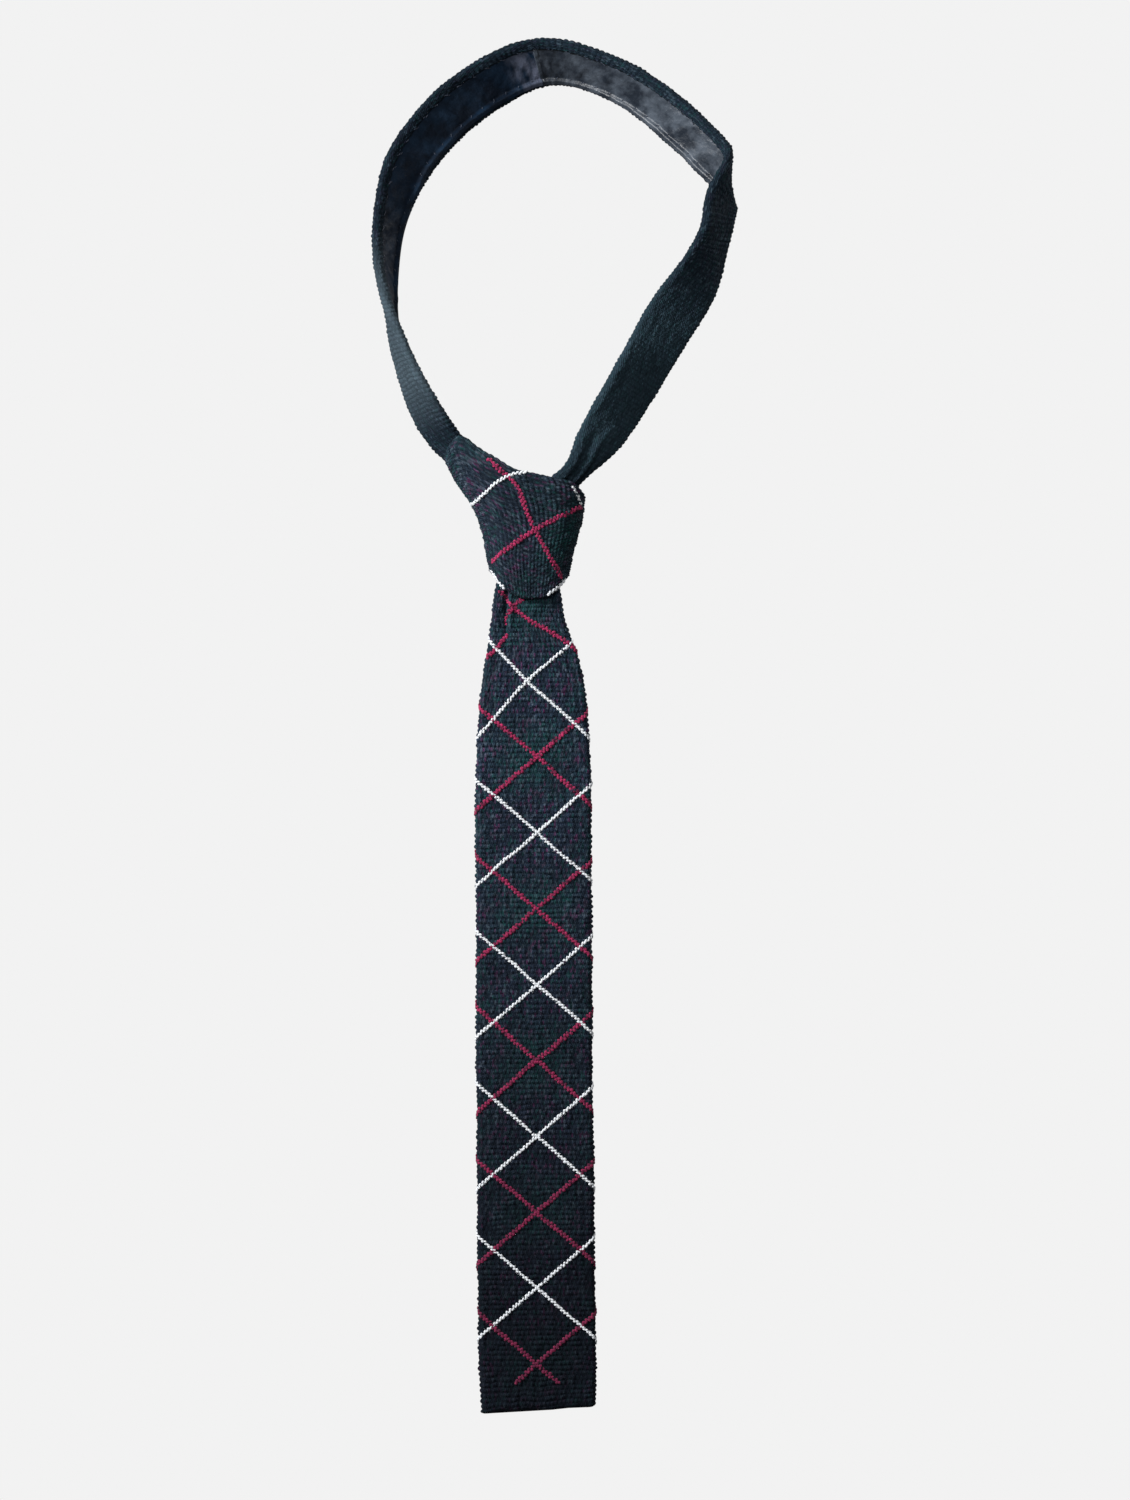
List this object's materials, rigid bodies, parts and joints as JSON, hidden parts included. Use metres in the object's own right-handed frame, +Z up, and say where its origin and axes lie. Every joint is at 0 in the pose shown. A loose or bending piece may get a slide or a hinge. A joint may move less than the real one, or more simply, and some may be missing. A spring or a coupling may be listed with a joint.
{
  "type": "necktie",
  "caption": "Slim square-ended knitted necktie with a diagonal overcheck, tied in a four-in-hand knot and hanging from its neck loop.",
  "frame": {"origin": "middle of the neck loop's inner face at the back of the neck", "axes": "+Z up along the hanging tie, -Y the front that shows the check, +X the viewer's right"},
  "size_m": [0.1765, 0.1297, 0.658],
  "materials": {
    "navy_knit": "soft wool knit, matt",
    "satin_lining": "satin lining, soft sheen",
    "interlining": "brushed wool interlining",
    "white_yarn": "fuzzy yarn",
    "red_yarn": "fuzzy yarn",
    "sewing_thread": "twisted thread",
    "woven_label": "plain woven label"
  },
  "bodies": {
    "neck_loop": {"neck_knit_shell_left": "navy_knit", "neck_knit_shell_right": "navy_knit", "neck_interlining_left": "interlining", "neck_interlining_right": "interlining", "neck_lining_left": "satin_lining", "neck_lining_right": "satin_lining", "neck_back_seam": "satin_lining", "tail_pass_knit_shell": "navy_knit", "tail_pass_interlining": "interlining", "tail_pass_lining": "satin_lining"},
    "knot": {"knot_front_wrap": "navy_knit", "knot_back_wrap": "navy_knit", "knot_inner_turn": "navy_knit", "blade_pass": "navy_knit", "knot_white_yarns": "white_yarn", "knot_red_yarns": "red_yarn"},
    "front_blade": {"blade_knit_shell": "navy_knit", "blade_interlining": "interlining", "blade_lining": "satin_lining", "blade_white_yarns": "white_yarn", "blade_red_yarns": "red_yarn", "keeper_loop": "satin_lining", "keeper_tacks": "sewing_thread", "blank_label": "woven_label", "blade_bar_tack": "sewing_thread", "blade_lining_stitches": "sewing_thread"},
    "tail": {"tail_knit_shell": "navy_knit", "tail_interlining": "interlining", "tail_lining": "satin_lining", "tail_bar_tack": "sewing_thread", "tail_lining_stitches": "sewing_thread"}
  },
  "joints": [
    {"name": "knot_slide", "type": "slide", "parent": "neck_loop", "child": "knot", "axis": [0, 0, -1], "range_m": [0, 0.06]},
    {"name": "blade_lift", "type": "hinge", "parent": "knot", "child": "front_blade", "pos_m": [-0.005, -0.1064, -0.262], "axis": [-1, 0, 0], "range_deg": [0, 90]},
    {"name": "tail_lift", "type": "hinge", "parent": "neck_loop", "child": "tail", "pos_m": [-0.005, -0.1, -0.325], "axis": [1, 0, 0], "range_deg": [0, 75]}
  ]
}
